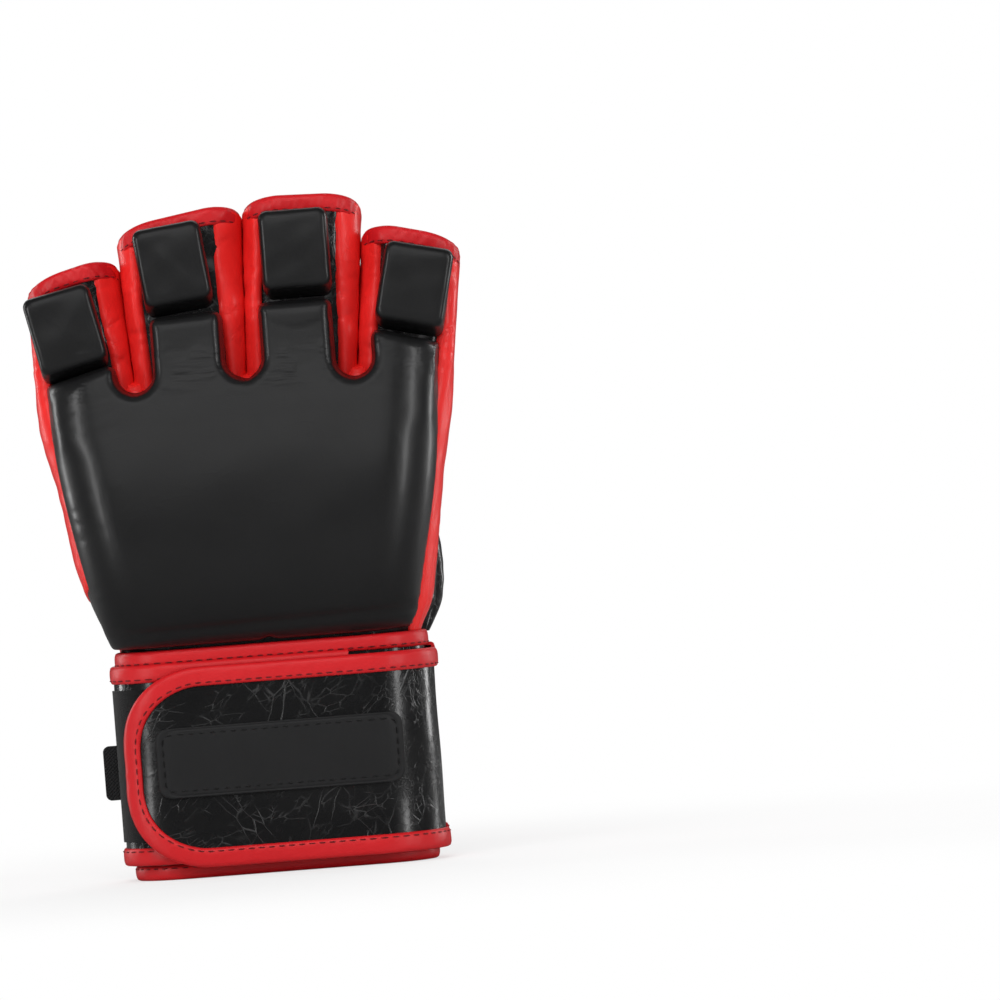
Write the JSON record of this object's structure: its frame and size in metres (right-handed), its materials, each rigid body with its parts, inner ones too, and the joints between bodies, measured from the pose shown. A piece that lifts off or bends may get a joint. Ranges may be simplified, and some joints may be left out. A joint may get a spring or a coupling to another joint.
{
  "type": "mma glove",
  "caption": "Padded open-palm grappling glove for the left hand, with open finger stalls, a flat thumb stall and a wrap-around wrist strap that peels open.",
  "frame": {"origin": "centre of the wrist opening, on the plane that the glove stands on", "axes": "+Z from the wrist to the finger tips, -Y the back of the hand, +X the index side"},
  "size_m": [0.1442, 0.0825, 0.2198],
  "materials": {
    "black_leather": "grained, semi-gloss",
    "black_pad_leather": "fine-grained, satin",
    "red_leather": "smooth, semi-gloss",
    "red_pad_leather": "smooth over foam, semi-gloss",
    "red_binding": "folded strip, stitched",
    "lining": "knitted, matte",
    "loop_fabric": "brushed loops, matte",
    "hook_tape": "hook tape, matte",
    "black_webbing": "woven, matte",
    "badge": "bare moulded patch, satin",
    "foam": "closed-cell foam"
  },
  "bodies": {
    "hand": {"back_panel": "black_leather", "cuff": "black_leather", "cuff_bottom_binding": "red_binding", "gusset_little_ring": "red_leather", "gusset_middle_index": "red_leather", "gusset_ring_middle": "red_leather", "hand_lining": "lining", "index_fold": "black_leather", "knuckle_pad_cover": "black_pad_leather", "knuckle_pad_foam": "foam", "little_fold": "black_leather", "loop_panel": "loop_fabric", "middle_fold": "black_leather", "palm_heel": "black_leather", "palm_heel_binding": "red_binding", "palm_opening_binding": "red_binding", "palm_panel": "black_leather", "palm_wrist_panel": "black_leather", "ring_fold": "black_leather", "side_panel_index": "red_leather", "side_panel_little": "red_leather", "side_tab": "black_webbing", "strap_wrap": "black_leather", "strap_wrap_bindings": "red_binding", "thumb_web": "black_leather", "vent_binding": "red_binding", "wrist_band": "black_webbing", "wrist_band_binding": "red_binding"},
    "strap": {"hook_panel": "hook_tape", "strap_badge": "badge", "strap_flap": "black_leather", "strap_flap_binding": "red_binding"},
    "thumb": {"thumb_opening_binding": "red_binding", "thumb_pad_cover": "red_pad_leather", "thumb_pad_foam": "foam", "thumb_stall": "black_leather"},
    "little": {"little_back_strip": "black_leather", "little_opening_binding": "red_binding", "little_pad_cover": "black_pad_leather", "little_pad_foam": "foam", "little_palm_strip": "black_leather", "little_side_walls": "red_leather"},
    "ring": {"ring_back_strip": "black_leather", "ring_opening_binding": "red_binding", "ring_pad_cover": "black_pad_leather", "ring_pad_foam": "foam", "ring_palm_strip": "black_leather", "ring_side_walls": "red_leather"},
    "middle": {"middle_back_strip": "black_leather", "middle_opening_binding": "red_binding", "middle_pad_cover": "black_pad_leather", "middle_pad_foam": "foam", "middle_palm_strip": "black_leather", "middle_side_walls": "red_leather"},
    "index": {"index_back_strip": "black_leather", "index_opening_binding": "red_binding", "index_pad_cover": "black_pad_leather", "index_pad_foam": "foam", "index_palm_strip": "black_leather", "index_side_walls": "red_leather"}
  },
  "joints": [
    {"name": "little_curl", "type": "hinge", "parent": "hand", "child": "little", "pos_m": [-0.0548, 0, 0.169], "axis": [-1, 0, 0], "range_deg": [0, 45], "stiffness_Nm_per_rad": 0.4, "deforming": ["little_fold"]},
    {"name": "ring_curl", "type": "hinge", "parent": "hand", "child": "ring", "pos_m": [-0.0188, 0, 0.187], "axis": [-1, 0, 0], "range_deg": [0, 45], "stiffness_Nm_per_rad": 0.4, "deforming": ["ring_fold"]},
    {"name": "middle_curl", "type": "hinge", "parent": "hand", "child": "middle", "pos_m": [0.0194, 0, 0.189], "axis": [-1, 0, 0], "range_deg": [0, 45], "stiffness_Nm_per_rad": 0.4, "deforming": ["middle_fold"]},
    {"name": "index_curl", "type": "hinge", "parent": "hand", "child": "index", "pos_m": [0.0544, 0, 0.1735], "axis": [-1, 0, 0], "range_deg": [0, 45], "stiffness_Nm_per_rad": 0.4, "deforming": ["index_fold"]},
    {"name": "strap_peel", "type": "hinge", "parent": "hand", "child": "strap", "pos_m": [0.0542, -0.003, 0], "axis": [0, 0, 1], "range_deg": [0, 120]},
    {"name": "thumb_swing", "type": "hinge", "parent": "hand", "child": "thumb", "pos_m": [0.054, 0.016, 0], "axis": [0, 0, -1], "range_deg": [0, 60], "stiffness_Nm_per_rad": 0.5, "deforming": ["thumb_web"]}
  ]
}
